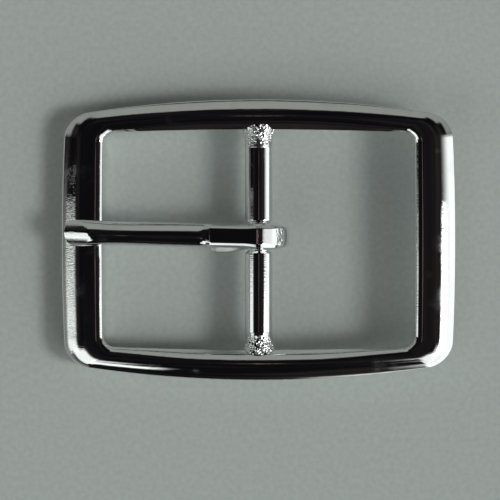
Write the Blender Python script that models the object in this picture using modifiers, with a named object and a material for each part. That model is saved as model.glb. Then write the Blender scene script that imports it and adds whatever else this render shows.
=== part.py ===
"""A centre-bar belt buckle for a 30 mm strap, as five separate solids.

The frame is a cast rim with a D-shaped section, gently arched along its length.  A round bar
with a turned neck crosses it, held by a tenon in each long rail and a collar of filler metal
round each tenon.  A one-piece tongue is bent round the bar's neck and rests on one short rail.

Axes: +X along the strap, away from the tongue's tip; +Y along the bar; +Z out of the front.
The origin is in the middle of the footprint, on the plane that the buckle lies on.
"""

import math

import bmesh
import bpy
from mathutils import Vector

MM = 0.001

# Rim, seen from the front.  Every outline is a rounded rectangle whose sides bow outward.
RIM_HALF_LENGTH = 27.4 * MM
RIM_HALF_HEIGHT = 19.45 * MM
RIM_CORNER = 3.4 * MM
RIM_END_BOW = 0.5 * MM
RIM_SIDE_BOW = 2.3 * MM
WINDOW_HALF_LENGTH = 21.5 * MM
WINDOW_HALF_HEIGHT = 15.1 * MM
WINDOW_CORNER = 1.6 * MM
WINDOW_END_BOW = 0.1 * MM
WINDOW_SIDE_BOW = 0.5 * MM

# Rim, in section.
FRONT_HEIGHT = 5.5 * MM
FRONT_ARCH_RADIUS = 350.0 * MM
BACK_RISE = 1.0 * MM
CROWN_FROM_WINDOW = 0.33
OUTER_FALL = 0.72
INNER_FALL = 0.75
WALL_DRAFT = 0.12 * MM
EDGE_BREAK = 0.3 * MM
CORNER_STEPS = 7
LONG_SIDE_STEPS = 20
SHORT_SIDE_STEPS = 10
OUTER_ARC_STEPS = 7
INNER_ARC_STEPS = 4

# Bar.  Its axis is the tongue's hinge.
BAR_HEIGHT = 3.2 * MM
BAR_RADIUS = 1.9 * MM
BAR_END_BREAK = 0.1 * MM
NECK_RADIUS = 1.55 * MM
NECK_MIDDLE = 0.2 * MM
NECK_HALF_LENGTH = 2.45 * MM
SHOULDER_LENGTH = 0.6 * MM
SHOULDER_STEPS = 3
TENON_RADIUS = 1.35 * MM
TENON_DEPTH = 2.0 * MM
SOCKET_LEAD = 2.0 * MM
BAR_STEPS = 24

# Filler collars, between the bar's ends and the rim.
COLLAR_LENGTH = 2.0 * MM
COLLAR_HALF_WIDTH = 2.45 * MM
COLLAR_HALF_THICKNESS = 1.95 * MM
COLLAR_FLARE_POWER = 2.5
COLLAR_RINGS = 5
COLLAR_STEPS = 24

# Touching pieces are modelled this far apart.
GAP = 0.3 * MM
RUNNING_CLEARANCE = 0.08 * MM

# Tongue.  Reaches run from the bar's axis, towards the tip.
TONGUE_OFFSET = 0.5 * MM
TIP_LEAN = 0.5 * MM
TIP_REACH = 26.85 * MM
TIP_LENGTH = 1.7 * MM
TIP_PARTS = (0.0, 0.06, 0.2, 0.45, 1.0)
TIP_NARROWEST = 0.25
TIP_THINNEST = 0.35
TIP_SLOPE_LENGTH = 3.4 * MM
TIP_SLOPE_DROP = 0.9 * MM
TIP_SLOPE_POWER = 1.5
BULB_REACH = 20.0 * MM
BULB_GROWTH_LENGTH = 4.0 * MM
SHANK_REACHES = (20.0 * MM, 16.0 * MM, 12.0 * MM)
BLOCK_REACHES = (5.0 * MM, 2.5 * MM)
BLOCK_REACH = 6.6 * MM
BLOCK_CHAMFER = 1.3 * MM
BACK_SLOPE_REACH = 20.0 * MM
SHANK_WIDTH = 3.5 * MM
BULB_WIDTH = 3.75 * MM
BLOCK_WIDTH = 3.75 * MM
SHANK_THICKNESS = 2.2 * MM
SECTION_CORNER = 0.3
SECTION_CORNER_STEPS = 3

# The tongue's loop turns about the bar's axis, from its front (0 degrees) round to its back.
LOOP_TOP_RADIUS = 4.25 * MM
LOOP_END_RADIUS = 4.3 * MM
LOOP_END_TURN = 90.0
LOOP_THINNED_TURN = 170.0
LOOP_BACK_THICKNESS = 1.25 * MM
LOOP_STEPS = 20

# The tail leaf carries on straight from the loop.  Its last part is thinner and narrower.
TAIL_REACH = 7.0 * MM
TAIL_ANGLE = 20.0
TAIL_THICKNESS = 1.0 * MM
TAIL_OFFSET = 0.6 * MM
TAIL_PARTS = ((0.35, 1.0, 1.0), (0.7, 1.0, 1.0), (0.9, 1.0, 1.0), (1.0, 0.6, 0.85))

# Finishes.
POLISHED_CHROME = (0.78, 0.79, 0.80)
FILLER_CHROME = (0.70, 0.71, 0.71)
RIM_ROUGHNESS = 0.08
TONGUE_ROUGHNESS = 0.10
FILLER_ROUGHNESS = 0.25


def make_collection(name):
    collection = bpy.data.collections.new(name)
    bpy.context.scene.collection.children.link(collection)
    return collection


def make_material(name, colour, roughness):
    material = bpy.data.materials.new(name)
    material.use_nodes = True
    shader = material.node_tree.nodes["Principled BSDF"]
    shader.inputs["Base Color"].default_value = (*colour, 1.0)
    shader.inputs["Metallic"].default_value = 1.0
    shader.inputs["Roughness"].default_value = roughness
    return material


def add_object(name, mesh, collection, material=None):
    piece = bpy.data.objects.new(name, mesh)
    collection.objects.link(piece)
    if material:
        mesh.materials.append(material)
    return piece


def shade_round(mesh, sharp_angle=40.0):
    mesh.shade_smooth()
    mesh.set_sharp_from_angle(angle=math.radians(sharp_angle))


def loft(name, rings, closed_path):
    """A skin over rings of equal point count; an open path gets a flat face at each end."""
    shell = bmesh.new()
    loops = [[shell.verts.new(point) for point in ring] for ring in rings]
    pairs = list(zip(loops, loops[1:]))
    if closed_path:
        pairs.append((loops[-1], loops[0]))
    count = len(loops[0])
    for first, second in pairs:
        for index in range(count):
            after = (index + 1) % count
            shell.faces.new((first[index], first[after], second[after], second[index]))
    if not closed_path:
        shell.faces.new(list(reversed(loops[0])))
        shell.faces.new(loops[-1])
    bmesh.ops.recalc_face_normals(shell, faces=shell.faces[:])
    mesh = bpy.data.meshes.new(name)
    shell.to_mesh(mesh)
    shell.free()
    shade_round(mesh)
    return mesh


# --- Frame -----------------------------------------------------------------------------------

def bowed_outline(half_length, half_height, corner, end_bow, side_bow):
    """Points round a rounded rectangle whose sides bow outward, anticlockwise."""
    signs = ((1, 1), (-1, 1), (-1, -1), (1, -1))
    centres = [Vector((sx * (half_length - corner), sy * (half_height - corner))) for sx, sy in signs]
    points = []
    for quarter, centre in enumerate(centres):
        for step in range(CORNER_STEPS + 1):
            angle = math.radians(90 * quarter + 90 * step / CORNER_STEPS)
            points.append(centre + corner * Vector((math.cos(angle), math.sin(angle))))
        along_side = centres[(quarter + 1) % 4] - centre
        start = points[-1].copy()
        side_steps = LONG_SIDE_STEPS if quarter % 2 == 0 else SHORT_SIDE_STEPS
        points += [start + along_side * step / side_steps for step in range(1, side_steps)]
    return [
        Vector((
            point.x - end_bow * (point.y / half_height) ** 2 * point.x / half_length,
            point.y - side_bow * (point.x / half_length) ** 2 * point.y / half_height,
        ))
        for point in points
    ]


def front_height(x):
    """Height of the rim's crown: an arc along the buckle's length."""
    return FRONT_HEIGHT - x * x / (2 * FRONT_ARCH_RADIUS)


def back_height(x):
    """Height of the rim's back: flat behind the short rails, arched between them."""
    return BACK_RISE * max(0.0, 1 - (x / WINDOW_HALF_LENGTH) ** 2)


def rim_section(width):
    """(distance in from the outer edge, base, height) points round the rim's D section.

    A point's height counts up from the back where its base is "back", and down from the crown
    where it is "front".
    """
    crown_in = CROWN_FROM_WINDOW * width
    crown = width - crown_in
    section = [(EDGE_BREAK, "back", 0.0), (0.0, "back", EDGE_BREAK)]
    for step in range(OUTER_ARC_STEPS + 1):
        angle = math.radians(90 * (1 - step / OUTER_ARC_STEPS))
        fall = OUTER_FALL * crown * (1 - math.cos(angle))
        section.append((crown * (1 - math.sin(angle)), "front", -fall))
    for step in range(1, INNER_ARC_STEPS + 1):
        angle = math.radians(90 * step / INNER_ARC_STEPS)
        fall = INNER_FALL * crown_in * (1 - math.cos(angle))
        section.append((crown + (crown_in - WALL_DRAFT) * math.sin(angle), "front", -fall))
    section += [(width, "back", EDGE_BREAK), (width - EDGE_BREAK, "back", 0.0)]
    return section


def build_frame(parts, cutters, material):
    outer = bowed_outline(RIM_HALF_LENGTH, RIM_HALF_HEIGHT, RIM_CORNER, RIM_END_BOW, RIM_SIDE_BOW)
    inner = bowed_outline(
        WINDOW_HALF_LENGTH, WINDOW_HALF_HEIGHT, WINDOW_CORNER, WINDOW_END_BOW, WINDOW_SIDE_BOW
    )
    rings = []
    for edge, foot in zip(outer, inner):
        width = (foot - edge).length
        ring = []
        for inward, base, height in rim_section(width):
            place = edge.lerp(foot, inward / width)
            level = back_height(place.x) if base == "back" else front_height(place.x)
            ring.append((place.x, place.y, level + height))
        rings.append(ring)
    frame = add_object("frame", loft("frame", rings, closed_path=True), parts, material)
    cut_sockets(frame, cutters)
    return frame


def cut_sockets(frame, cutters):
    """A blind hole in each long rail, for the bar's tenon."""
    socket_floor = WINDOW_HALF_HEIGHT + TENON_DEPTH + GAP
    mouth = WINDOW_HALF_HEIGHT - SOCKET_LEAD
    for name, side in (("upper", 1), ("lower", -1)):
        bpy.ops.mesh.primitive_cylinder_add(
            vertices=BAR_STEPS,
            radius=TENON_RADIUS + GAP,
            depth=socket_floor - mouth,
            location=(0, side * (socket_floor + mouth) / 2, BAR_HEIGHT),
            rotation=(math.radians(90), 0, 0),
        )
        cutter = bpy.context.active_object
        cutter.name = name + "_socket_cutter"
        for collection in list(cutter.users_collection):
            collection.objects.unlink(cutter)
        cutters.objects.link(cutter)
        cutter.hide_render = True
        cutter.display_type = "WIRE"
        hole = frame.modifiers.new(name + "_socket", "BOOLEAN")
        hole.operation = "DIFFERENCE"
        hole.solver = "EXACT"
        hole.object = cutter


# --- Bar and its collars ----------------------------------------------------------------------

def collar_start():
    """Distance from the buckle's middle to the end of the bar's full diameter."""
    return WINDOW_HALF_HEIGHT - GAP - COLLAR_LENGTH - GAP


def half_bar_profile(neck_end):
    """(radius, distance from the middle) from the bar's tip in to the end of its neck."""
    tip = WINDOW_HALF_HEIGHT + TENON_DEPTH
    shoulder = neck_end + SHOULDER_LENGTH
    profile = [
        (0.0, tip),
        (TENON_RADIUS - EDGE_BREAK, tip),
        (TENON_RADIUS, tip - EDGE_BREAK),
        (TENON_RADIUS, collar_start()),
        (BAR_RADIUS - BAR_END_BREAK, collar_start()),
        (BAR_RADIUS, collar_start() - BAR_END_BREAK),
        (BAR_RADIUS, shoulder),
    ]
    rise = BAR_RADIUS - NECK_RADIUS
    for step in range(1, SHOULDER_STEPS + 1):
        angle = math.radians(90 * step / SHOULDER_STEPS)
        profile.append((
            BAR_RADIUS - rise * (1 - math.cos(angle)),
            shoulder - SHOULDER_LENGTH * math.sin(angle),
        ))
    return profile


def build_centre_bar(parts, material):
    """A turned bar: tenon, body, shoulder, neck, shoulder, body, tenon."""
    upper = half_bar_profile(NECK_HALF_LENGTH + NECK_MIDDLE)
    lower = half_bar_profile(NECK_HALF_LENGTH - NECK_MIDDLE)
    profile = upper + [(radius, -along) for radius, along in reversed(lower)]
    mesh = bpy.data.meshes.new("centre_bar")
    edges = [(index, index + 1) for index in range(len(profile) - 1)]
    mesh.from_pydata([(radius, 0, along) for radius, along in profile], edges, [])
    bar = add_object("centre_bar", mesh, parts, material)
    bar.location = (0, 0, BAR_HEIGHT)
    bar.rotation_euler = (math.radians(-90), 0, 0)
    turn = bar.modifiers.new("turn", "SCREW")
    turn.steps = BAR_STEPS
    turn.render_steps = BAR_STEPS
    turn.use_merge_vertices = True
    turn.merge_threshold = 0.00001
    turn.use_smooth_shade = True
    return bar


def ellipse(half_width, half_thickness, y):
    """A ring round the bar's axis, in the collar's own frame."""
    return [
        (
            half_width * math.cos(2 * math.pi * step / COLLAR_STEPS),
            y,
            half_thickness * math.sin(2 * math.pi * step / COLLAR_STEPS),
        )
        for step in range(COLLAR_STEPS)
    ]


def build_collar(name, side, parts, material):
    """Filler metal that flares from the bar's diameter to an oval foot against the rail."""
    bore = TENON_RADIUS + GAP
    rings = [ellipse(bore, bore, 0.0)]
    for step in range(COLLAR_RINGS + 1):
        along = step / COLLAR_RINGS
        flare = along ** COLLAR_FLARE_POWER
        half_width = BAR_RADIUS + (COLLAR_HALF_WIDTH - BAR_RADIUS) * flare
        half_thickness = BAR_RADIUS + (COLLAR_HALF_THICKNESS - BAR_RADIUS) * flare
        rings.append(ellipse(half_width, half_thickness, side * along * COLLAR_LENGTH))
    rings.append(ellipse(bore, bore, side * COLLAR_LENGTH))
    collar = add_object(name, loft(name, rings, closed_path=True), parts, material)
    collar.location = (0, side * (collar_start() + GAP), BAR_HEIGHT)
    return collar


# --- Tongue -----------------------------------------------------------------------------------

def smooth_step(value):
    value = min(1.0, max(0.0, value))
    return value * value * (3 - 2 * value)


def straight_stations():
    """(outer, inner, width, offset) from the tip to the bar.

    Outer is the middle of the front face and inner the middle of the back, both measured from
    the bar's axis; offset is the station's shift along the bar.
    """
    inner_level = NECK_RADIUS + RUNNING_CLEARANCE
    rail_level = front_height(-TIP_REACH + TIP_SLOPE_LENGTH) - BAR_HEIGHT + GAP
    reaches = [TIP_REACH - TIP_LENGTH * part for part in TIP_PARTS]
    reaches += [TIP_REACH - TIP_SLOPE_LENGTH, *SHANK_REACHES]
    reaches += [BLOCK_REACH + BLOCK_CHAMFER, BLOCK_REACH, *BLOCK_REACHES]
    stations = []
    for reach in reaches:
        back = inner_level + (rail_level - inner_level) * smooth_step(reach / BACK_SLOPE_REACH)
        slope = max(0.0, 1 - (TIP_REACH - reach) / TIP_SLOPE_LENGTH)
        front = back + SHANK_THICKNESS - TIP_SLOPE_DROP * slope ** TIP_SLOPE_POWER
        block = min(1.0, max(0.0, (BLOCK_REACH + BLOCK_CHAMFER - reach) / BLOCK_CHAMFER))
        front += block * (LOOP_TOP_RADIUS - front)
        bulb = smooth_step((reach - BULB_REACH) / BULB_GROWTH_LENGTH)
        width = SHANK_WIDTH + (BLOCK_WIDTH - SHANK_WIDTH) * block
        width += (BULB_WIDTH - SHANK_WIDTH) * bulb
        round_off = min(1.0, (TIP_REACH - reach) / TIP_LENGTH)
        closing = math.sqrt(max(0.0, 1 - (1 - round_off) ** 2))
        closing = max(closing, TIP_NARROWEST)
        thinning = TIP_THINNEST + (1 - TIP_THINNEST) * closing
        middle = (front + back) / 2
        front = middle + (front - middle) * thinning
        back = middle + (back - middle) * thinning
        offset = TIP_LEAN * reach / TIP_REACH
        stations.append((Vector((-reach, front)), Vector((-reach, back)), width * closing, offset))
    return stations


def loop_stations():
    """Stations turning about the bar's axis, from its front round to its back."""
    inner = NECK_RADIUS + RUNNING_CLEARANCE
    sweep = 180.0 + TAIL_ANGLE
    stations = []
    for step in range(LOOP_STEPS + 1):
        turned = sweep * step / LOOP_STEPS
        angle = math.radians(90 - turned)
        if turned <= LOOP_END_TURN:
            ease = smooth_step(turned / LOOP_END_TURN)
            outer = LOOP_TOP_RADIUS + (LOOP_END_RADIUS - LOOP_TOP_RADIUS) * ease
        else:
            ease = smooth_step((turned - LOOP_END_TURN) / (LOOP_THINNED_TURN - LOOP_END_TURN))
            outer = LOOP_END_RADIUS + (inner + LOOP_BACK_THICKNESS - LOOP_END_RADIUS) * ease
        direction = Vector((math.cos(angle), math.sin(angle)))
        offset = -TAIL_OFFSET * smooth_step((turned - LOOP_END_TURN) / (180 - LOOP_END_TURN))
        stations.append((outer * direction, inner * direction, BLOCK_WIDTH, offset))
    return stations


def tail_stations():
    """The leaf beyond the loop, lying back under the block."""
    inner = NECK_RADIUS + RUNNING_CLEARANCE
    angle = math.radians(-90 - TAIL_ANGLE)
    normal = Vector((math.cos(angle), math.sin(angle)))
    along = Vector((-math.cos(math.radians(TAIL_ANGLE)), math.sin(math.radians(TAIL_ANGLE))))
    start = inner * normal
    length = (TAIL_REACH + start.x) / math.cos(math.radians(TAIL_ANGLE))
    stations = []
    for part, thinned, narrowed in TAIL_PARTS:
        thickness = LOOP_BACK_THICKNESS + (TAIL_THICKNESS - LOOP_BACK_THICKNESS) * part
        inner_point = start + along * length * part
        outer_point = inner_point + normal * thickness * thinned
        stations.append((outer_point, inner_point, BLOCK_WIDTH * narrowed, -TAIL_OFFSET))
    return stations


def tongue_ring(outer, inner, width, offset):
    """A rounded rectangle across the tongue, from its front or outer face to its inner face."""
    thickness = (outer - inner).length
    corner = SECTION_CORNER * min(thickness, width)
    middle = (outer + inner) / 2
    across = (outer - inner).normalized()
    ring = []
    for quarter, (side, face) in enumerate(((1, 1), (-1, 1), (-1, -1), (1, -1))):
        for step in range(SECTION_CORNER_STEPS + 1):
            angle = math.radians(90 * quarter + 90 * step / SECTION_CORNER_STEPS)
            y = side * (width / 2 - corner) + corner * math.cos(angle)
            rise = face * (thickness / 2 - corner) + corner * math.sin(angle)
            place = middle + across * rise
            ring.append((place.x, y + offset, place.y))
    return ring


def build_tongue(parts, material):
    """The prong with its loop, hung on an empty that lies on the bar's axis."""
    stations = straight_stations() + loop_stations() + tail_stations()
    rings = [tongue_ring(*station) for station in stations]
    hinge = bpy.data.objects.new("tongue_hinge", None)
    hinge.empty_display_size = 5 * MM
    hinge.location = (0, TONGUE_OFFSET, BAR_HEIGHT)
    parts.objects.link(hinge)
    tongue = add_object("tongue", loft("tongue", rings, closed_path=False), parts, material)
    tongue.parent = hinge
    return tongue


def main():
    for item in list(bpy.data.objects):
        bpy.data.objects.remove(item)
    parts = make_collection("belt_buckle")
    cutters = make_collection("belt_buckle_cutters")
    build_frame(parts, cutters, make_material("frame_chrome", POLISHED_CHROME, RIM_ROUGHNESS))
    build_centre_bar(parts, make_material("bar_chrome", POLISHED_CHROME, RIM_ROUGHNESS))
    filler = make_material("filler_chrome", FILLER_CHROME, FILLER_ROUGHNESS)
    build_collar("upper_bar_fillet", 1, parts, filler)
    build_collar("lower_bar_fillet", -1, parts, filler)
    build_tongue(parts, make_material("tongue_chrome", POLISHED_CHROME, TONGUE_ROUGHNESS))


main()
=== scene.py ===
"""The looks of a chrome centre-bar belt buckle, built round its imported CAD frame.

Each CAD solid is replaced by a finer mesh of the same part: a lofted rim, a turned bar, two
grainy filler collars and a bent tongue.  Lengths are in metres, axes as in the CAD: +X along
the strap, +Y along the bar, +Z out of the front.
"""

import math

import bpy
import numpy as np
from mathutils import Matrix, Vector, noise


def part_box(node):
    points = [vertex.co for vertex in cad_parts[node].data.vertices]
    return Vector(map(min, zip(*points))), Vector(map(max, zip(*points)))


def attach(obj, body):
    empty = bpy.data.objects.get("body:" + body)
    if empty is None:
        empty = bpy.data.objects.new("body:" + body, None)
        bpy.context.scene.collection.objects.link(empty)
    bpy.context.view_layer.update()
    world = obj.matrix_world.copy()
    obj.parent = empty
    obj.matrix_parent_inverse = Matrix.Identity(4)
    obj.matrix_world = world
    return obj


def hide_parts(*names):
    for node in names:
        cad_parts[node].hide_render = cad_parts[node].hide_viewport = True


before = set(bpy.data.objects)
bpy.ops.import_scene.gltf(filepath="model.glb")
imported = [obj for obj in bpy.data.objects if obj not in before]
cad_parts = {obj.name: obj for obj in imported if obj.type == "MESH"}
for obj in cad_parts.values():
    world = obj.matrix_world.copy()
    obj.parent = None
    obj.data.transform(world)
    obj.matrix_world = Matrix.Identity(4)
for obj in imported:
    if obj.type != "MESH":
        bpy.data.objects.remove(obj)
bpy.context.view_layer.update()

MM = 0.001
RIM_LOW, RIM_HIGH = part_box("frame")
BAR_LOW, BAR_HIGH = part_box("centre_bar")
TONGUE_LOW, TONGUE_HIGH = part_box("tongue")
COLLAR_LOW, COLLAR_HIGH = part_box("upper_bar_fillet")

# Rim outlines.  The outer one is the CAD's, and the window is a little larger than the CAD's.
RIM_CORNER = 3.4 * MM
RIM_END_BOW = 0.5 * MM
RIM_SIDE_BOW = 2.3 * MM
WINDOW_HALF_LENGTH = 21.6 * MM
WINDOW_HALF_HEIGHT = 15.25 * MM
WINDOW_CORNER = 1.5 * MM
WINDOW_END_BOW = 0.1 * MM
WINDOW_SIDE_BOW = 0.45 * MM
WINDOW_SHIFT = np.array((0.02 * MM, 0.05 * MM))
CORNER_STEPS = 36
LONG_SIDE_STEPS = 200
SHORT_SIDE_STEPS = 110

# Rim section.
ARCH_RADIUS = 350 * MM
BACK_RISE = 1.0 * MM
EDGE_BREAK = 0.3 * MM
# The middle of the break, as a part of it.
EDGE_CORNER = 0.3
SECTION_POINTS = 40
# The crown's distance from the window: a length on a short rail, a part of the width on a long one.
SHORT_RAIL_CROWN = 2.3 * MM
LONG_RAIL_CROWN = 0.44
# A section turns from a long rail's to a short rail's over this range of its facing along X.
SHORT_RAIL_FROM = 0.15
SHORT_RAIL_SPAN = 0.7
# How the outer side steepens with the distance from the crown: 1 is evenly.
OUTER_POWER = 1.11
# (degrees of tilt where the outer edge's round begins, the round's part of the width, inner power).
LONG_RAIL = (43.5, 0.06, 0.83)
SHORT_RAIL = (34.0, 0.09, 4.0)
# Steepest tilt of the front in degrees.  The upper rail's inner side is crisp, so it stops sooner.
STEEPEST = 85.0
UPPER_RAIL_STEEPEST = 41.0
UPPER_RAIL_FROM = 0.3
UPPER_RAIL_SPAN = 0.5
# The rim's front is rippled by polishing, and fades to the smooth back over these heights.
RIPPLED_FROM = 1.5 * MM
RIPPLED_SPAN = 1.0 * MM

# Polishing ripples: (depth, length).
RIM_RIPPLE = (0.012 * MM, 5 * MM)
BAR_RIPPLE = (0.012 * MM, 4 * MM)
TONGUE_RIPPLE = (0.006 * MM, 3 * MM)

# Only the left rail touches the table, which falls away to +X under the rest of the buckle.  The
# fall stands in for whatever makes the photo's shadows widen that way.
TABLE_TILT = math.radians(4.0)
TABLE_TOUCH = -27.2 * MM

# Bar and tongue.
BAR_HEIGHT = (BAR_LOW.z + BAR_HIGH.z) / 2
BAR_RADIUS = (BAR_HIGH.x - BAR_LOW.x) / 2
BAR_FLATNESS = 0.85
NECK_RADIUS = 1.55 * MM
NECK_MIDDLE = 0.42 * MM
NECK_HALF_LENGTH = 1.95 * MM
SHOULDER_LENGTH = 0.35 * MM
TONGUE_OFFSET = 0.47 * MM
LOOP_CLEARANCE = 0.08 * MM
TIP_REACH = -TONGUE_LOW.x


def smooth_step(value):
    value = np.clip(value, 0.0, 1.0)
    return value * value * (3 - 2 * value)


def eased(value, start, span):
    """0 at start, 1 at start + span, with soft ends."""
    return float(smooth_step((value - start) / span))


def mixed(first, second, part):
    return first + (second - first) * part


# --- Meshes ------------------------------------------------------------------------------------

SHARP_ANGLE = math.radians(50)


def skin(name, rings, loops_closed):
    """A quad skin over an array of rings (ring, point, xyz), each ring closed."""
    rings = np.asarray(rings, float)
    count, across = rings.shape[:2]
    faces = []
    for ring in range(count if loops_closed else count - 1):
        here = ring * across
        there = (ring + 1) % count * across
        for point in range(across):
            after = (point + 1) % across
            faces.append((here + point, here + after, there + after, there + point))
    if not loops_closed:
        faces.append(tuple(reversed(range(across))))
        faces.append(tuple(range((count - 1) * across, count * across)))
    mesh = bpy.data.meshes.new(name)
    mesh.from_pydata(rings.reshape(-1, 3).tolist(), [], faces)
    mesh.update()
    mesh.shade_smooth()
    mesh.set_sharp_from_angle(angle=SHARP_ANGLE)
    piece = bpy.data.objects.new(name, mesh)
    bpy.context.scene.collection.objects.link(piece)
    return piece


def ring_normals(rings, loops_closed):
    """Outward normals of a skin's points, from its neighbours along and across."""
    if loops_closed:
        along = np.roll(rings, -1, 0) - np.roll(rings, 1, 0)
    else:
        along = np.gradient(rings, axis=0)
    across = np.roll(rings, -1, 1) - np.roll(rings, 1, 1)
    normals = np.cross(across, along)
    lengths = np.linalg.norm(normals, axis=2, keepdims=True)
    return normals / np.maximum(lengths, 1e-15)


def rippled(rings, normals, depth, length):
    """Polishing waviness: shifts each point along its normal by smooth noise."""
    flat = rings.reshape(-1, 3)
    shifts = [noise.noise(Vector(point / length)) for point in flat]
    return rings + normals * (depth * np.array(shifts)).reshape(rings.shape[:2] + (1,))


def add_grains(rings, normals, centres, radii, heights):
    """Raises a round grain at each centre, as a dome on the skin."""
    lift = np.zeros(rings.shape[:2])
    for centre, radius, height in zip(centres, radii, heights):
        far = np.linalg.norm(rings - centre, axis=2) / radius
        lift = np.maximum(lift, height * np.sqrt(np.clip(1 - far ** 2, 0, 1)))
    return rings + normals * lift[..., None]


# --- Rim ---------------------------------------------------------------------------------------

def bowed_outline(half_length, half_height, corner, end_bow, side_bow):
    """Points round a rounded rectangle whose sides bow outward, anticlockwise."""
    signs = ((1, 1), (-1, 1), (-1, -1), (1, -1))
    centres = [np.array((sx * (half_length - corner), sy * (half_height - corner))) for sx, sy in signs]
    points = []
    for quarter, centre in enumerate(centres):
        for step in range(CORNER_STEPS + 1):
            angle = math.radians(90 * quarter + 90 * step / CORNER_STEPS)
            points.append(centre + corner * np.array((math.cos(angle), math.sin(angle))))
        along_side = centres[(quarter + 1) % 4] - centre
        start = points[-1]
        steps = LONG_SIDE_STEPS if quarter % 2 == 0 else SHORT_SIDE_STEPS
        points += [start + along_side * step / steps for step in range(1, steps)]
    points = np.array(points)
    x, y = points[:, 0], points[:, 1]
    return np.stack((
        x - end_bow * (y / half_height) ** 2 * x / half_length,
        y - side_bow * (x / half_length) ** 2 * y / half_height,
    ), axis=1)


def falls_of(outs, tilts):
    """Fall below the crown, as part of the crown-to-edge distance, from the surface's tilts."""
    tilts = np.minimum(tilts, math.radians(STEEPEST))
    steps = (np.tan(tilts[1:]) + np.tan(tilts[:-1])) / 2 * np.diff(outs)
    return np.concatenate(([0], np.cumsum(steps)))


def section_falls(outs, short_part, steepest_inside):
    """(outer falls, inner falls) of the rim's section.

    The outer side steepens steadily to a crisp edge.  The inner side of a long rail is round,
    and that of a short rail stays nearly flat up to a tight round at the window.
    """
    end_tilt, round_part, inner_power = mixed(np.array(LONG_RAIL), np.array(SHORT_RAIL), short_part)
    end_tilt = math.radians(end_tilt)
    steady = end_tilt * np.minimum(outs / (1 - round_part), 1.0) ** OUTER_POWER
    turned = np.clip((outs - 1 + round_part) / round_part, 0, 1)
    outer = falls_of(outs, steady + (math.pi / 2 - end_tilt) * turned ** 2)
    inner_tilts = np.arcsin(outs ** inner_power)
    return outer, falls_of(outs, np.minimum(inner_tilts, math.radians(steepest_inside)))


def rim_ring(edge, foot, side, outs):
    """One section's points: up the outer edge, over the front and down the window's wall."""
    width = np.linalg.norm(foot - edge)
    inward = (foot - edge) / width
    square_part = abs(inward[0] * side[1] - inward[1] * side[0])
    short_part = eased((abs(side[1]) + abs(inward[0])) / 2, SHORT_RAIL_FROM, SHORT_RAIL_SPAN)
    upper_part = eased(-inward[1], UPPER_RAIL_FROM, UPPER_RAIL_SPAN)
    steepest_inside = mixed(STEEPEST, UPPER_RAIL_STEEPEST, upper_part)
    inner_width = mixed(LONG_RAIL_CROWN * width, SHORT_RAIL_CROWN, short_part)
    outer_width = width - inner_width
    outer_falls, inner_falls = section_falls(outs, short_part, steepest_inside)
    corner = EDGE_CORNER * EDGE_BREAK
    outer_wall = [(edge + inward * EDGE_BREAK, 0.0), (edge + inward * corner, corner), (edge, EDGE_BREAK)]
    window_wall = [(foot, EDGE_BREAK), (foot - inward * corner, corner), (foot - inward * EDGE_BREAK, 0.0)]
    front = [
        (edge + inward * outer_width * (1 - out), outer_width * square_part * fall)
        for out, fall in zip(outs[::-1], outer_falls[::-1])
    ]
    front += [
        (edge + inward * (outer_width + inner_width * out), inner_width * square_part * fall)
        for out, fall in zip(outs[1:], inner_falls[1:])
    ]

    def back_point(place, height):
        rise = BACK_RISE * max(0.0, 1 - (place[0] / WINDOW_HALF_LENGTH) ** 2)
        return place[0], place[1], rise + height

    def front_point(place, fall):
        return place[0], place[1], RIM_HIGH.z - place[0] ** 2 / (2 * ARCH_RADIUS) - fall

    points = [back_point(*wall) for wall in outer_wall]
    points += [front_point(*face) for face in front]
    return points + [back_point(*wall) for wall in window_wall]


def build_rim():
    outer = bowed_outline(RIM_HIGH.x, RIM_HIGH.y, RIM_CORNER, RIM_END_BOW, RIM_SIDE_BOW)
    window = bowed_outline(
        WINDOW_HALF_LENGTH, WINDOW_HALF_HEIGHT, WINDOW_CORNER, WINDOW_END_BOW, WINDOW_SIDE_BOW
    )
    sides = np.roll(window, -1, 0) - np.roll(window, 1, 0)
    sides /= np.linalg.norm(sides, axis=1, keepdims=True)
    outs = 1 - (1 - np.linspace(0, 1, SECTION_POINTS)) ** 2
    rings = np.array([
        rim_ring(edge, foot, side, outs) for edge, foot, side in zip(outer, window + WINDOW_SHIFT, sides)
    ])
    above = smooth_step((rings[..., 2:3] - RIPPLED_FROM) / RIPPLED_SPAN)
    rings = rippled(rings, ring_normals(rings, True) * above, *RIM_RIPPLE)
    rings = np.clip(rings, np.array(RIM_LOW), np.array(RIM_HIGH))
    return skin("rim", rings, True)


# --- Bar ---------------------------------------------------------------------------------------

BAR_INSET = 0.8 * MM
BAR_RINGS = 420
BAR_POINTS = 96
SHOULDER_POWER = 0.6


def build_bar():
    """The bar's round skin, from inside one rail to inside the other."""
    reach = WINDOW_HALF_HEIGHT + BAR_INSET
    places = np.linspace(-reach, reach, BAR_RINGS)
    from_neck = np.abs(places - NECK_MIDDLE) - NECK_HALF_LENGTH
    rise = smooth_step(from_neck / SHOULDER_LENGTH) ** SHOULDER_POWER
    radii = mixed(NECK_RADIUS, BAR_RADIUS, rise)
    thicknesses = mixed(NECK_RADIUS, BAR_RADIUS * BAR_FLATNESS, rise)
    turns = np.linspace(0, 2 * math.pi, BAR_POINTS, endpoint=False)
    rings = np.stack((
        radii[:, None] * np.cos(turns),
        np.repeat(places[:, None], BAR_POINTS, 1),
        BAR_HEIGHT + thicknesses[:, None] * np.sin(turns),
    ), axis=2)
    return skin("bar", rippled(rings, ring_normals(rings, False), *BAR_RIPPLE), False)


# --- Filler collars ----------------------------------------------------------------------------

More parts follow.
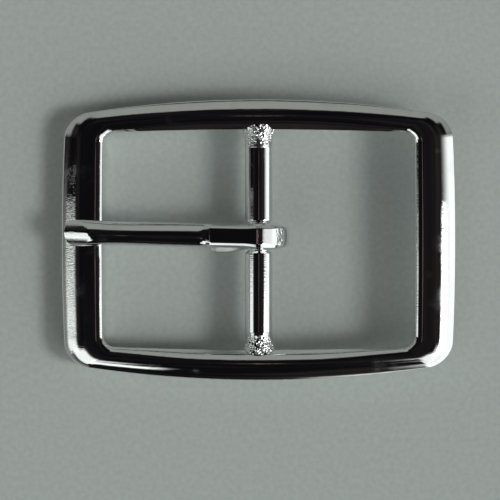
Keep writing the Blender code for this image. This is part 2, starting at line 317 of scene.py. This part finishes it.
COLLAR_INSET = 0.7 * MM
COLLAR_EXTRA_WIDTH = 0.1 * MM
COLLAR_HALF_THICKNESS = 1.9 * MM
COLLAR_OVER_BAR = 0.01 * MM
COLLAR_LIP = 0.15 * MM
COLLAR_MARGIN = 0.1 * MM
COLLAR_RINGS = 90
COLLAR_POINTS = 220
FLARE_POWER = 2.2
# Grains: how many, the range along the collar, radii in millimetres, and heights over radii.
GRAIN_COUNT = 460
GRAIN_RANGE = (0.1, 1.0)
GRAIN_CROWDING = 0.8
GRAIN_RADII = (0.08, 0.24)
GRAIN_HEIGHTS = (0.25, 0.75)
# Grains near the collar's thin end are lower: growth along it, and the least part.
GRAIN_GROWTH = 2.2
GRAIN_LEAST = 0.2


def build_collar(name, side, seed):
    """Filler metal run round the bar's end, its surface set with small grains."""
    random = np.random.default_rng(seed)
    start = COLLAR_LOW.y
    reach = WINDOW_HALF_HEIGHT + COLLAR_INSET - start
    half_width = (COLLAR_HIGH.x - COLLAR_LOW.x) / 2 + COLLAR_EXTRA_WIDTH
    parts = np.linspace(0, 1, COLLAR_RINGS)
    flare = parts ** FLARE_POWER
    widths = BAR_RADIUS + COLLAR_OVER_BAR + (half_width - BAR_RADIUS) * flare
    thicknesses = BAR_RADIUS + COLLAR_OVER_BAR + (COLLAR_HALF_THICKNESS - BAR_RADIUS) * flare
    widths[0] = thicknesses[0] = BAR_RADIUS - COLLAR_LIP
    turns = np.linspace(0, 2 * math.pi, COLLAR_POINTS, endpoint=False)
    rings = np.stack((
        widths[:, None] * np.cos(turns),
        np.repeat(side * (start + parts * reach)[:, None], COLLAR_POINTS, 1),
        BAR_HEIGHT + thicknesses[:, None] * np.sin(turns),
    ), axis=2)
    if side < 0:
        rings = rings[:, ::-1]
    along = random.uniform(*GRAIN_RANGE, GRAIN_COUNT) ** GRAIN_CROWDING
    around = random.uniform(0, 2 * math.pi, GRAIN_COUNT)
    row = np.clip((along * (COLLAR_RINGS - 1)).astype(int), 0, COLLAR_RINGS - 1)
    column = np.clip((around / (2 * math.pi) * COLLAR_POINTS).astype(int), 0, COLLAR_POINTS - 1)
    radii = random.uniform(*GRAIN_RADII, GRAIN_COUNT) * MM
    heights = radii * random.uniform(*GRAIN_HEIGHTS, GRAIN_COUNT)
    heights *= np.clip(along * GRAIN_GROWTH, GRAIN_LEAST, 1)
    rings = add_grains(rings, ring_normals(rings, False), rings[row, column], radii, heights)
    rings[..., 2] = np.clip(rings[..., 2], BACK_RISE + COLLAR_MARGIN, RIM_HIGH.z - COLLAR_MARGIN)
    return skin(name, rings, False)


# --- Tongue ------------------------------------------------------------------------------------

# Rings along each stretch, and points in each quarter of a ring.
TIP_RINGS = 30
SHANK_RINGS = 280
BEND_RINGS = 260
TAIL_RINGS = 30
QUARTER_POINTS = 32

# Places along the shank are reaches: distances from the bar's axis towards the tip.
LOOP_INSIDE = NECK_RADIUS + LOOP_CLEARANCE
ROOT_REACH = 0.03 * MM
TONGUE_LEAN = 0.021
RAIL_CLEARANCE = 0.25 * MM
SHANK_RISE_LENGTH = 20 * MM
SHANK_START_THICKNESS = 1.55 * MM
SHANK_END_THICKNESS = 2.05 * MM
THICKENING_START = 8 * MM
THICKENING_LENGTH = 12 * MM
SHANK_WIDTH = 3.25 * MM
SHANK_ROLL = 7.5
BULB_WIDTH = 3.6 * MM
BULB_START = 19 * MM
BULB_LENGTH = 5 * MM

# The tip is rounded off over its length, closing to a level this part of the way up.
TIP_LENGTH = 1.4 * MM
TIP_LEVEL = 0.2
TIP_LEAST_CLOSING = 0.03
TIP_FRONT_LEFT = 0.45
TIP_BACK_LEFT = 0.1
TIP_SLOPE_LENGTH = 4.6 * MM
TIP_SLOPE_DROP = 0.35 * MM
TIP_SLOPE_POWER = 1.7
# The tip's ground bevel: where it starts, its fall towards the tip, its curve across, the round
# where it meets the shank, and how much of the thickness it may take.
BEVEL_START = 23.4 * MM
BEVEL_REACH = BEVEL_START - 1 * MM
BEVEL_SLOPE = 0.47
BEVEL_CURVE = 150.0
BEVEL_ROUND = 0.06 * MM
BEVEL_DEEPEST = 0.9

# The block between shank and bend: it rises over its chamfer with a bulge, falls in degrees from
# the bend, and loses this part of the shank's roll.
BLOCK_WIDTH = 3.2 * MM
BLOCK_REACH = 6.7 * MM
BLOCK_FALL = 5.0
BLOCK_FLAT = 0.4 * MM
BLOCK_CHAMFER = 1.1 * MM
CHAMFER_BULGE = 0.6
BLOCK_ROLL_LOST = 0.95
BLOCK_BLEND_LENGTH = 1.5 * BLOCK_CHAMFER
# Corners of the block's section: (part of the half width, depth below the front face).
BLOCK_CORNERS = ((1.0, 1.7 * MM), (1.0, 0.80 * MM), (0.83, 0.14 * MM), (0.62, 0.0), (0.0, 0.0))
BLOCK_FULL_THICKNESS = 2 * MM
BLOCK_CORNER_DEPTH = 0.9
# Chamfer of its back edges: part of the lowest corner's height, and part of the half width.
BACK_EDGE_RISE = 0.3
BACK_EDGE_WIDTH = 0.85

# The bend.  It spreads from the block's width over the spread length, which goes on round the
# bend for the spread's turn in degrees, and narrows again towards its end.
LOOP_WIDTH = 3.66 * MM
LOOP_SHIFT = -0.03 * MM
SPREAD_REACH = 2.4 * MM
SPREAD_LENGTH = 3 * MM
SPREAD_TURN = 60
LOOP_END_NARROWING = 0.15
NARROWING_FROM = 40
NARROWING_SPAN = 50
LOOP_BACK_THICKNESS = 1.25 * MM
LOOP_TOP = TONGUE_HIGH.z - BAR_HEIGHT
LOOP_END = TONGUE_HIGH.x
# Flats round the bend, front to back: (tilt from the front in degrees, distance from the axis).
LOOP_FLATS = (
    (-1, LOOP_TOP),
    (3, LOOP_TOP),
    (28, 3.89 * MM),
    (50, 3.76 * MM),
    (61, 3.89 * MM),
    (76, 4.14 * MM),
    (89, LOOP_END),
    (112, 4.1 * MM),
    (140, 3.5 * MM),
    (168, 3.0 * MM),
)
FLAT_SHARPNESS = 60
# Behind this turn in degrees the bend thins to its back thickness.
THINNING_FROM = 140
THINNING_SPAN = 50

# The tail under the block.
TAIL_REACH = -6.6 * MM
TAIL_ANGLE = 11.0
TAIL_OFFSET = 0.62 * MM
TAIL_DRIFT_RATE = 1.4
TAIL_THICKNESS = 1.0 * MM
TAIL_ROUND = 0.1
TAIL_LEAST_CLOSING = 0.15
TAIL_END_WIDTH = 0.7

# An oval section: its superellipse power, and the height of its widest level over its thickness.
OVAL_POWER = 2 / 2.1
OVAL_WAIST = 0.32

# Rough grains on the bend: the zone from the axis out and up, and across, then as on the collars.
BEND_GRAIN_OUT = (2.5 * MM, 3.3 * MM)
BEND_GRAIN_LEVEL = 1.5 * MM
BEND_GRAIN_ACROSS = 1.2 * MM
BEND_GRAIN_COUNT = 60
BEND_GRAIN_RADII = (0.06, 0.16)
BEND_GRAIN_HEIGHTS = (0.15, 0.5)


def loop_radius(turned_deg):
    """Distance from the bar's axis to the bend's outside, by angle turned from the front."""
    total = 0.0
    for tilt, distance in LOOP_FLATS:
        facing = math.cos(math.radians(turned_deg - tilt))
        if facing > 0:
            total += (facing / distance) ** FLAT_SHARPNESS
    outside = total ** (-1 / FLAT_SHARPNESS)
    return mixed(outside, LOOP_INSIDE + LOOP_BACK_THICKNESS, eased(turned_deg, THINNING_FROM, THINNING_SPAN))


def shank_stations():
    """Rings' shapes from the tip to above the bar, as tongue_stations gives them."""
    rail = RIM_HIGH.z - (TIP_REACH - TIP_SLOPE_LENGTH) ** 2 / (2 * ARCH_RADIUS) - BAR_HEIGHT + RAIL_CLEARANCE
    block_slope = math.tan(math.radians(BLOCK_FALL))
    tip_parts = 1 - np.cos(np.linspace(0, math.pi / 2, TIP_RINGS))
    reaches = list(TIP_REACH - TIP_LENGTH * tip_parts)
    reaches += list(np.linspace(TIP_REACH - TIP_LENGTH, ROOT_REACH, SHANK_RINGS)[1:])
    stations = []
    for reach in reaches:
        back = mixed(LOOP_INSIDE, rail, eased(reach, 0, SHANK_RISE_LENGTH))
        thickening = eased(reach, THICKENING_START, THICKENING_LENGTH)
        front = back + mixed(SHANK_START_THICKNESS, SHANK_END_THICKNESS, thickening)
        slope = max(0.0, 1 - (TIP_REACH - reach) / TIP_SLOPE_LENGTH)
        front -= TIP_SLOPE_DROP * slope ** TIP_SLOPE_POWER
        ramp = float(np.clip((BLOCK_REACH + BLOCK_CHAMFER - reach) / BLOCK_CHAMFER, 0, 1))
        block_front = loop_radius(0) - max(0.0, reach - BLOCK_FLAT) * block_slope
        front += (block_front - front) * ramp ** 2 * (1 + CHAMFER_BULGE - CHAMFER_BULGE * ramp ** 2)
        blend = 1 - eased(reach, BLOCK_REACH, BLOCK_BLEND_LENGTH)
        spread = eased(SPREAD_REACH - reach, 0, SPREAD_LENGTH)
        width = mixed(SHANK_WIDTH, BLOCK_WIDTH, blend) + (LOOP_WIDTH - BLOCK_WIDTH) * spread
        width += (BULB_WIDTH - SHANK_WIDTH) * eased(reach, BULB_START, BULB_LENGTH)
        round_off = min(1.0, (TIP_REACH - reach) / TIP_LENGTH)
        closing = max(TIP_LEAST_CLOSING, math.sqrt(max(0.0, 1 - (1 - round_off) ** 2)))
        middle = mixed(back, front, TIP_LEVEL)
        front = middle + (front - middle) * mixed(TIP_FRONT_LEFT, 1, closing)
        back = middle + (back - middle) * mixed(TIP_BACK_LEFT, 1, closing)
        offset = TONGUE_LEAN * reach + LOOP_SHIFT * spread
        roll = SHANK_ROLL * (1 - BLOCK_ROLL_LOST * blend)
        stations.append(((-reach, front), (-reach, back), width * closing, offset, blend, roll))
    return stations


def bend_stations():
    """Rings' shapes round the bar, from its front to the tail's root."""
    stations = []
    for turned in np.linspace(0, 180 + TAIL_ANGLE, BEND_RINGS):
        angle = math.radians(90 - turned)
        direction = np.array((math.cos(angle), math.sin(angle)))
        spread = eased(SPREAD_REACH + SPREAD_LENGTH * turned / SPREAD_TURN, 0, SPREAD_LENGTH)
        width = mixed(BLOCK_WIDTH, LOOP_WIDTH, spread)
        width *= 1 - LOOP_END_NARROWING * eased(turned, NARROWING_FROM, NARROWING_SPAN)
        front, back = loop_radius(turned) * direction, LOOP_INSIDE * direction
        stations.append((front, back, width, LOOP_SHIFT * spread, 1.0, 0.0))
    return stations


def tail_stations():
    """Rings' shapes from the bend to the tail's end."""
    tilt = math.radians(TAIL_ANGLE)
    normal = np.array((-math.sin(tilt), -math.cos(tilt)))
    along = np.array((-math.cos(tilt), math.sin(tilt)))
    start = LOOP_INSIDE * normal
    length = (start[0] - TAIL_REACH) / math.cos(tilt)
    stations = []
    for part in np.linspace(0, 1, TAIL_RINGS)[1:]:
        thickness = mixed(LOOP_BACK_THICKNESS, TAIL_THICKNESS, part)
        end = float(np.clip((part - 1 + TAIL_ROUND) / TAIL_ROUND, 0, 1))
        closing = max(TAIL_LEAST_CLOSING, math.sqrt(1 - end ** 2))
        middle = start + along * length * part + normal * thickness / 2
        half = normal * thickness / 2 * closing
        width = LOOP_WIDTH * (1 - LOOP_END_NARROWING) * mixed(TAIL_END_WIDTH, 1, closing)
        offset = LOOP_SHIFT - TAIL_OFFSET * float(smooth_step(part * TAIL_DRIFT_RATE))
        stations.append((middle + half, middle - half, width, offset, 1 - part, 0.0))
    return stations


def tongue_stations():
    """Rings' shapes from tip to tail's end.

    Each is (front point, back point, width, sideways offset, blockiness, roll).  A point is
    (x, height over the bar's axis), and the roll is in degrees.
    """
    return shank_stations() + bend_stations() + tail_stations()


def spread_points(corners, count):
    """Points along a run of straight parts, each part holding an equal share of them."""
    corners = np.array(corners)
    places = np.linspace(0, len(corners) - 1, count, endpoint=False)
    return np.stack([np.interp(places, range(len(corners)), corners[:, axis]) for axis in (0, 1)], axis=1)


def tongue_section(thickness, blockiness):
    """(part of half width, height over the back face) round one ring, from a side, anticlockwise."""
    turns = np.linspace(0, 2 * math.pi, 4 * QUARTER_POINTS, endpoint=False)
    cosines, sines = np.cos(turns), np.sin(turns)
    rises = np.sign(sines) * np.abs(sines) ** OVAL_POWER
    waist = OVAL_WAIST * thickness
    oval = np.stack((
        np.sign(cosines) * np.abs(cosines) ** OVAL_POWER,
        waist + np.where(rises > 0, (thickness - waist) * rises, waist * rises),
    ), axis=1)
    steepness = min(1.0, thickness / BLOCK_FULL_THICKNESS) * BLOCK_CORNER_DEPTH
    corners = [(part, thickness - depth * steepness) for part, depth in BLOCK_CORNERS]
    side = spread_points(corners, QUARTER_POINTS)
    far = spread_points([(-part, height) for part, height in reversed(corners)], QUARTER_POINTS)
    low = corners[0][1]
    edge = BACK_EDGE_RISE * low
    under = spread_points(((-1, low), (-1, edge), (-BACK_EDGE_WIDTH, 0), (0, 0)), QUARTER_POINTS)
    back = spread_points(((0, 0), (BACK_EDGE_WIDTH, 0), (1, edge), (1, low)), QUARTER_POINTS)
    block = np.concatenate((side, far, under, back))
    return mixed(oval, block, blockiness)


def bevel_cut(places, sideways, bevel_top):
    """How far the tip's bevel lies below each of a ring's points, rounded where it begins."""
    bevel = bevel_top - BEVEL_SLOPE * (-places[:, 0] - BEVEL_START) - BEVEL_CURVE * sideways ** 2
    over = places[:, 1] - bevel
    return (over + np.sqrt(over ** 2 + BEVEL_ROUND ** 2)) / 2


def build_tongue():
    stations = tongue_stations()
    bevel_top = max(front[1] for front, *rest in stations if -front[0] > BEVEL_REACH)
    rings = []
    for front, back, width, offset, blockiness, roll in stations:
        front, back = np.array(front), np.array(back)
        thickness = np.linalg.norm(front - back)
        section = tongue_section(thickness, blockiness)
        sideways = width / 2 * section[:, 0]
        depth = section[:, 1] - math.tan(math.radians(roll)) * sideways * section[:, 1] / thickness
        places = back + (front - back) / thickness * depth[:, None]
        if -front[0] > BEVEL_REACH:
            cut = bevel_cut(places, sideways, bevel_top)
            places[:, 1] -= np.clip(cut, 0, BEVEL_DEEPEST * depth)
        rings.append(np.stack((
            places[:, 0],
            TONGUE_OFFSET + offset + sideways,
            BAR_HEIGHT + places[:, 1],
        ), axis=1))
    rings = np.array(rings)
    normals = ring_normals(rings, False)
    rings = rippled(rings, normals, *TONGUE_RIPPLE)
    rings = add_bend_grains(rings, normals)
    rings = np.clip(rings, np.array(TONGUE_LOW), np.array(TONGUE_HIGH))
    return skin("prong", rings, False)


def add_bend_grains(rings, normals):
    """Rough grains of plating on the steep flat of the bend."""
    random = np.random.default_rng(5)
    x, y, z = rings[..., 0], rings[..., 1], rings[..., 2]
    zone = (x > BEND_GRAIN_OUT[0]) & (x < BEND_GRAIN_OUT[1]) & (z > BAR_HEIGHT + BEND_GRAIN_LEVEL)
    zone &= np.abs(y - TONGUE_OFFSET) < BEND_GRAIN_ACROSS
    spots = rings[zone]
    centres = spots[random.integers(0, len(spots), BEND_GRAIN_COUNT)]
    radii = random.uniform(*BEND_GRAIN_RADII, BEND_GRAIN_COUNT) * MM
    heights = radii * random.uniform(*BEND_GRAIN_HEIGHTS, BEND_GRAIN_COUNT)
    return add_grains(rings, normals, centres, radii, heights)


# --- Materials ---------------------------------------------------------------------------------

class Nodes:
    """Adds nodes to one tree, with links given as keyword inputs."""

    def __init__(self, tree):
        self.tree = tree

    def add(self, kind, settings=None, **inputs):
        node = self.tree.nodes.new(kind)
        for key, value in (settings or {}).items():
            setattr(node, key, value)
        for key, value in inputs.items():
            socket = node.inputs[int(key[1:]) if key[1:].isdigit() else key.replace("_", " ")]
            if isinstance(value, bpy.types.NodeSocket):
                self.tree.links.new(value, socket)
            else:
                socket.default_value = value
        return node

    def math(self, operation, first, second=0.0):
        node = self.add("ShaderNodeMath", {"operation": operation}, i0=first, i1=second)
        return node.outputs[0]

    def ramp(self, value, low, high):
        """0 below low, 1 above high, or the reverse where high is the lower."""
        settings = {"interpolation_type": "SMOOTHSTEP", "clamp": True}
        if low < high:
            node = self.add("ShaderNodeMapRange", settings, i0=value, i1=low, i2=high, i3=0.0, i4=1.0)
        else:
            node = self.add("ShaderNodeMapRange", settings, i0=value, i1=high, i2=low, i3=1.0, i4=0.0)
        return node.outputs[0]


# Plating: noise scales per metre for the haze and the hairlines, the haze's range that counts as
# rubbed, and a rubbed patch's tone.
HAZE_SCALE = 260.0
HAIRLINE_SCALES = (900.0, 9000.0, 4000.0)
RUBBED = (0.52, 0.70)
RUBBED_TONE = 0.93
RELIEF_DEPTH = 0.01 * MM
# Brush marks on the short rails' outer slopes, fading out above the tongue's tip, and how much
# they add to the hairlines.
WORN_OUT = (24.2 * MM, 25.6 * MM)
WORN_DOWN = (7 * MM, 4 * MM)
WORN_STRENGTH = 3

# Each plating's tone, roughness, extra roughness where rubbed, and strength of the hairlines.
BRIGHT = (0.86, 0.87, 0.87)
FINISHES = {
    "rim_chrome": (BRIGHT, 0.03, 0.10, 0.25),
    "bar_chrome": (BRIGHT, 0.03, 0.06, 0.2),
    "filler_chrome": ((0.82, 0.83, 0.83), 0.06, 0.15, 0.4),
    "prong_chrome": (BRIGHT, 0.03, 0.08, 0.2),
    # The tail's dull plating: a rough finish, and a darker tone that is painted shade where the tail lies
    # under the block.
    "prong_satin_painted_shade": ((0.50, 0.51, 0.50), 0.42, 0.10, 0.5),
}


def chrome(name):
    """Polished plating: fine hairlines, soft polishing haze and a few rubbed patches."""
    tone, roughness, scuff, bump = FINISHES[name]
    material = bpy.data.materials.new(name)
    material.use_nodes = True
    nodes = Nodes(material.node_tree)
    shader = material.node_tree.nodes["Principled BSDF"]
    shader.inputs["Metallic"].default_value = 1.0
    place = nodes.add("ShaderNodeTexCoord").outputs["Object"]
    haze = nodes.add("ShaderNodeTexNoise", None, Vector=place, Scale=HAZE_SCALE, Detail=4.0)
    stretched = nodes.add("ShaderNodeMapping", None, Vector=place, Scale=HAIRLINE_SCALES)
    lines = nodes.add(
        "ShaderNodeTexNoise", None, Vector=stretched.outputs["Vector"], Scale=1.0, Detail=2.0
    )
    patches = nodes.ramp(haze.outputs["Fac"], *RUBBED)
    rough = nodes.math("ADD", nodes.math("MULTIPLY", patches, scuff), roughness)
    material.node_tree.links.new(rough, shader.inputs["Roughness"])
    darker = tuple(RUBBED_TONE * part for part in tone)
    mix = nodes.add(
        "ShaderNodeMix", {"data_type": "RGBA"}, i0=patches, i6=(*tone, 1.0), i7=(*darker, 1.0)
    )
    material.node_tree.links.new(mix.outputs[2], shader.inputs["Base Color"])
    axes = nodes.add("ShaderNodeSeparateXYZ", None, Vector=place).outputs
    ends = nodes.ramp(nodes.math("ABSOLUTE", axes[0]), *WORN_OUT)
    worn = nodes.math("MULTIPLY", ends, nodes.ramp(axes[1], *WORN_DOWN))
    strength = nodes.add(
        "ShaderNodeMath", {"operation": "MULTIPLY_ADD"}, i0=worn, i1=WORN_STRENGTH * bump, i2=bump
    )
    relief = nodes.add(
        "ShaderNodeBump", None,
        Strength=strength.outputs[0], Distance=RELIEF_DEPTH, Height=lines.outputs["Fac"],
    )
    material.node_tree.links.new(relief.outputs["Normal"], shader.inputs["Normal"])
    return material


# --- Studio ------------------------------------------------------------------------------------

def studio_lobe(nodes, azimuth, elevation, lobe):
    """A patch of light on the surrounding wall: a soft-edged span of azimuth and elevation."""
    start, end, side_soft, low, low_soft, top, top_soft, colour = lobe
    centre = (start + end) / 2
    half = (end - start) / 2
    turned = nodes.math("SUBTRACT", azimuth, math.radians(centre))
    wrapped = nodes.add("ShaderNodeMath", {"operation": "WRAP"}, i0=turned, i1=math.pi, i2=-math.pi)
    away = nodes.math("ABSOLUTE", wrapped.outputs[0])
    wide = nodes.ramp(away, math.radians(half + side_soft), math.radians(half - side_soft))
    under = nodes.ramp(elevation, math.radians(top + top_soft), math.radians(top - top_soft))
    over = nodes.ramp(elevation, math.radians(low - low_soft), math.radians(low + low_soft))
    mask = nodes.math("MULTIPLY", nodes.math("MULTIPLY", wide, under), over)
    scaled = nodes.add("ShaderNodeVectorMath", {"operation": "SCALE"}, i0=colour, Scale=mask)
    return scaled.outputs[0]


# The lit patches that the chrome mirrors, in degrees: azimuth from, to and softness; lowest
# elevation and softness; top and softness; then the colour.
STUDIO_LOBES = (
    (-42, 11, 4, -5, 2, 39, 15, (1.12, 1.16, 1.14)),
    (-23, -5, 5, 35, 4, 51, 4, (16.5, 17.0, 16.7)),
    (-62, -42, 5, -5, 2, 38, 8, (1.1, 1.14, 1.12)),
    (-74, -60, 4, 14, 4, 35, 5, (0.9, 0.94, 0.92)),
    (-64, -52, 4, 38, 4, 60, 5, (0.9, 0.94, 0.92)),
    (-52, -28, 4, 38, 6, 72, 6, (1.0, 1.04, 1.02)),
    (-32, -16, 4, 48, 6, 60, 5, (0.8, 0.83, 0.82)),
    (-84, -60, 4, -5, 2, 9, 4, (0.8, 0.84, 0.82)),
    (-179.9, -158, 0.3, 21, 3, 48, 4, (0.95, 1.0, 0.97)),
    (-160, -123, 2, 30, 4, 66, 5, (1.0, 1.05, 1.02)),
    (-125, -101, 2, 37, 3, 50, 4, (1.15, 1.2, 1.17)),
    (-126, -110, 3, 50, 3, 62, 4, (0.8, 0.84, 0.82)),
    (-181.5, -115, 1.5, -5, 2, 22, 3, (0.20, 0.21, 0.20)),
    (58, 122, 5, 6, 3, 52, 3, (0.27, 0.285, 0.26)),
    (122, 148, 4, 6, 3, 42, 4, (0.26, 0.275, 0.25)),
    (148, 168, 4, 2, 3, 28, 4, (0.24, 0.255, 0.24)),
    (34, 58, 4, 6, 3, 42, 4, (0.26, 0.275, 0.25)),
    (14, 34, 4, 2, 3, 28, 4, (0.24, 0.255, 0.24)),
)


# Dim clutter of the room, in two tones, and the lens straight above, by elevation in degrees.
GLOOM_SCALE = 3.0
GLOOM_RANGE = (0.42, 0.68)
GLOOM_LIFT = (0.016, 0.012, 0.011)
GLOOM_BASE = (0.004, 0.004, 0.005)
LENS_FROM = 87.6
LENS_FULL = 89.2
LENS_COLOUR = (0.15, 0.10, 0.09)


def build_studio():
    """Lights the scene from the world alone, so that the chrome mirrors what lights it."""
    world = bpy.data.worlds.new("studio")
    bpy.context.scene.world = world
    world.use_nodes = True
    nodes = Nodes(world.node_tree)
    direction = nodes.add("ShaderNodeTexCoord").outputs["Generated"]
    parts = nodes.add("ShaderNodeSeparateXYZ", None, Vector=direction).outputs
    elevation = nodes.math("ARCSINE", parts[2])
    azimuth = nodes.math("ARCTAN2", parts[1], parts[0])
    clutter = nodes.add("ShaderNodeTexNoise", None, Vector=direction, Scale=GLOOM_SCALE, Detail=3.0)
    gloom = nodes.ramp(clutter.outputs["Fac"], *GLOOM_RANGE)
    total = nodes.add(
        "ShaderNodeVectorMath", {"operation": "MULTIPLY_ADD"}, i0=GLOOM_LIFT, i1=gloom, i2=GLOOM_BASE
    ).outputs[0]
    lens = nodes.ramp(elevation, math.radians(LENS_FROM), math.radians(LENS_FULL))
    glint = nodes.add("ShaderNodeVectorMath", {"operation": "SCALE"}, i0=LENS_COLOUR, Scale=lens)
    total = nodes.add("ShaderNodeVectorMath", {"operation": "ADD"}, i0=total, i1=glint.outputs[0]).outputs[0]
    for lobe in STUDIO_LOBES:
        glow = studio_lobe(nodes, azimuth, elevation, lobe)
        total = nodes.add("ShaderNodeVectorMath", {"operation": "ADD"}, i0=total, i1=glow).outputs[0]
    background = world.node_tree.nodes["Background"]
    world.node_tree.links.new(total, background.inputs["Color"])


PAPER_SIZE = 1.6
FIBRE_SCALE = 1400.0
PAPER_DARK = (0.43, 0.465, 0.45, 1.0)
PAPER_LIGHT = (0.585, 0.62, 0.605, 1.0)
PAPER_ROUGHNESS = 0.85
PAPER_GLOSS = 0.2


def build_floor():
    """A large sheet of pale grey paper, finely mottled."""
    bpy.ops.mesh.primitive_plane_add(size=PAPER_SIZE)
    floor = bpy.context.active_object
    floor.location = (TABLE_TOUCH, 0, 0)
    floor.rotation_euler = (0, TABLE_TILT, 0)
    floor.name = "paper"
    material = bpy.data.materials.new("paper")
    material.use_nodes = True
    nodes = Nodes(material.node_tree)
    shader = material.node_tree.nodes["Principled BSDF"]
    place = nodes.add("ShaderNodeTexCoord").outputs["Object"]
    fibres = nodes.add("ShaderNodeTexNoise", None, Vector=place, Scale=FIBRE_SCALE, Detail=3.0)
    mix = nodes.add(
        "ShaderNodeMix", {"data_type": "RGBA"}, i0=fibres.outputs["Fac"], i6=PAPER_DARK, i7=PAPER_LIGHT
    )
    material.node_tree.links.new(mix.outputs[2], shader.inputs["Base Color"])
    shader.inputs["Roughness"].default_value = PAPER_ROUGHNESS
    shader.inputs["Specular IOR Level"].default_value = PAPER_GLOSS
    floor.data.materials.append(material)


# Width of the field at the bar's level, and the camera's distance and place over that level.
FIELD = 69.45 * MM
CAMERA_DISTANCE = 400 * MM
CAMERA_AIM = (-1.22 * MM, -1.38 * MM, 2.5 * MM)


def build_camera():
    """Square to the buckle's front, a little to the tongue's side of its middle."""
    data = bpy.data.cameras.new("camera")
    data.sensor_width = 36.0
    data.lens = data.sensor_width * CAMERA_DISTANCE / FIELD
    camera = bpy.data.objects.new("camera", data)
    bpy.context.scene.collection.objects.link(camera)
    camera.location = Vector(CAMERA_AIM) + Vector((0, 0, CAMERA_DISTANCE))
    bpy.context.scene.camera = camera


# --- Assembly ----------------------------------------------------------------------------------

def finish_piece(piece, body, material, node):
    piece.data.materials.append(material)
    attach(piece, body)
    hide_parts(node)


def shaded_satin_tail(prong):
    """Gives the tail dull plating whose darker tone is painted shade under the block: all that lies below
    the bar's axis on the shank's side.
    """
    prong.data.materials.append(chrome("prong_satin_painted_shade"))
    tail = [face.center.z < BAR_HEIGHT and face.center.x < 0 for face in prong.data.polygons]
    prong.data.polygons.foreach_set("material_index", np.array(tail, dtype=np.int32))


def main():
    finish_piece(build_rim(), "buckle", chrome("rim_chrome"), "frame")
    finish_piece(build_bar(), "buckle", chrome("bar_chrome"), "centre_bar")
    filler = chrome("filler_chrome")
    finish_piece(build_collar("upper_filler", 1, 11), "buckle", filler, "upper_bar_fillet")
    finish_piece(build_collar("lower_filler", -1, 23), "buckle", filler, "lower_bar_fillet")
    prong = build_tongue()
    finish_piece(prong, "prong", chrome("prong_chrome"), "tongue")
    shaded_satin_tail(prong)
    build_studio()
    build_floor()
    build_camera()
    bpy.context.scene.view_settings.view_transform = "Standard"


main()
